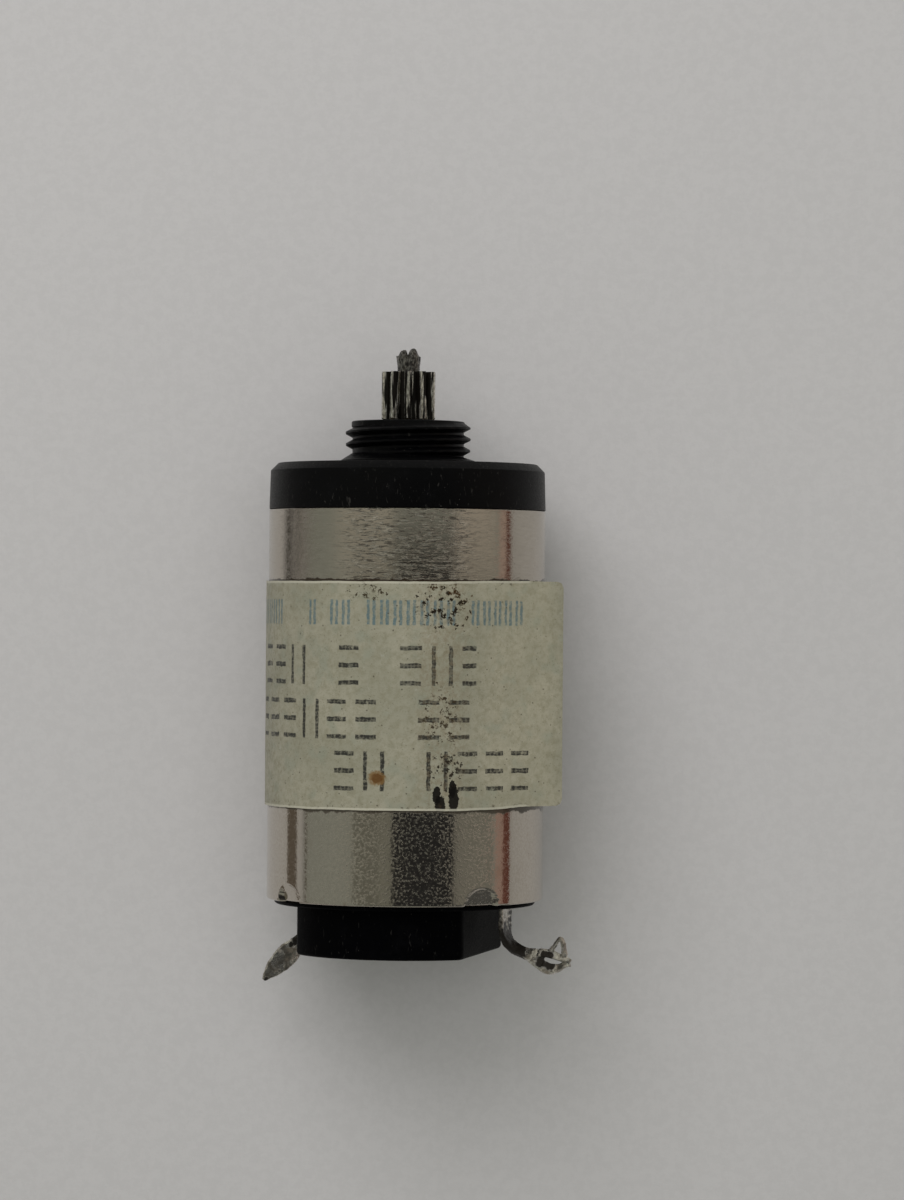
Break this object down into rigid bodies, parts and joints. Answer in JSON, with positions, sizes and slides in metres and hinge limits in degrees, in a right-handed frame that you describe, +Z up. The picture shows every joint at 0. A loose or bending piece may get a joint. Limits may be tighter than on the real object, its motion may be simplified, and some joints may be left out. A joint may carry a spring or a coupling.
{
  "type": "geared DC motor",
  "caption": "Miniature tubular DC gearmotor with a threaded nose, toothed output pinion, paper label, black rear cap and two bent solder tabs.",
  "frame": {"origin": "on the output shaft axis, in the plane of the front cover's mounting face", "axes": "+Y along the shaft axis towards the output pinion, +Z up as the motor lies on its side, +X towards the label's free end"},
  "size_m": [0.0133, 0.0274, 0.0122],
  "materials": {
    "black_plastic": "satin black moulded plastic, dusty",
    "turned_nickel": "nickel plate over fine turning marks, scratched",
    "nickel_plate": "bright nickel plate with a fine mottled texture",
    "gear_steel": "cut steel, grimy between the teeth",
    "shaft_steel": "ground steel",
    "gear_brass": "machined brass",
    "sintered_bronze": "oil-soaked sintered bronze",
    "magnet": "ground magnet alloy",
    "copper_winding": "enamelled copper wire",
    "resin": "cast resin",
    "brush_spring": "precious-metal spring strip",
    "tinned_tab": "tinned strip with solder left on it",
    "label_paper": "aged cream label, stained and worn"
  },
  "bodies": {
    "housing": {"front_cover": "black_plastic", "output_bush_front": "sintered_bronze", "output_bush_rear": "sintered_bronze", "output_washer": "gear_steel", "lay_axle": "shaft_steel", "lay_washer_front": "gear_steel", "lay_washer_rear": "gear_steel", "gear_plate": "gear_brass", "gearhead_tube": "turned_nickel", "motor_can": "nickel_plate", "bearing_carrier": "gear_brass", "front_bearing": "sintered_bronze", "rear_bearing": "sintered_bronze", "magnet": "magnet", "rotor_washer_front": "gear_steel", "rotor_washer_rear": "gear_steel", "brush_holder": "black_plastic", "brush_right": "brush_spring", "brush_left": "brush_spring", "end_cap": "black_plastic", "terminal_right": "tinned_tab", "terminal_left": "tinned_tab", "label": "label_paper"},
    "output_drive": {"output_shaft": "shaft_steel", "output_pinion": "gear_steel", "output_wheel": "gear_brass"},
    "lay_gear": {"lay_pinion": "gear_steel", "lay_wheel": "gear_brass"},
    "rotor": {"rotor_shaft": "shaft_steel", "input_pinion": "gear_steel", "winding": "copper_winding", "commutator_plate": "resin", "commutator": "copper_winding"}
  },
  "joints": [
    {"name": "output_spin", "type": "hinge", "parent": "housing", "child": "output_drive", "pos_m": [0, 0, 0], "axis": [0, 1, 0], "continuous": true},
    {"name": "lay_spin", "type": "hinge", "parent": "housing", "child": "lay_gear", "pos_m": [0.00263, -0.004, 0], "axis": [0, 1, 0], "continuous": true},
    {"name": "rotor_spin", "type": "hinge", "parent": "housing", "child": "rotor", "pos_m": [0, -0.01, 0], "axis": [0, 1, 0], "continuous": true}
  ],
  "couplings": [
    {"joint": "lay_spin", "follows": "output_spin", "ratio": -3.375},
    {"joint": "rotor_spin", "follows": "output_spin", "ratio": 11.391}
  ]
}
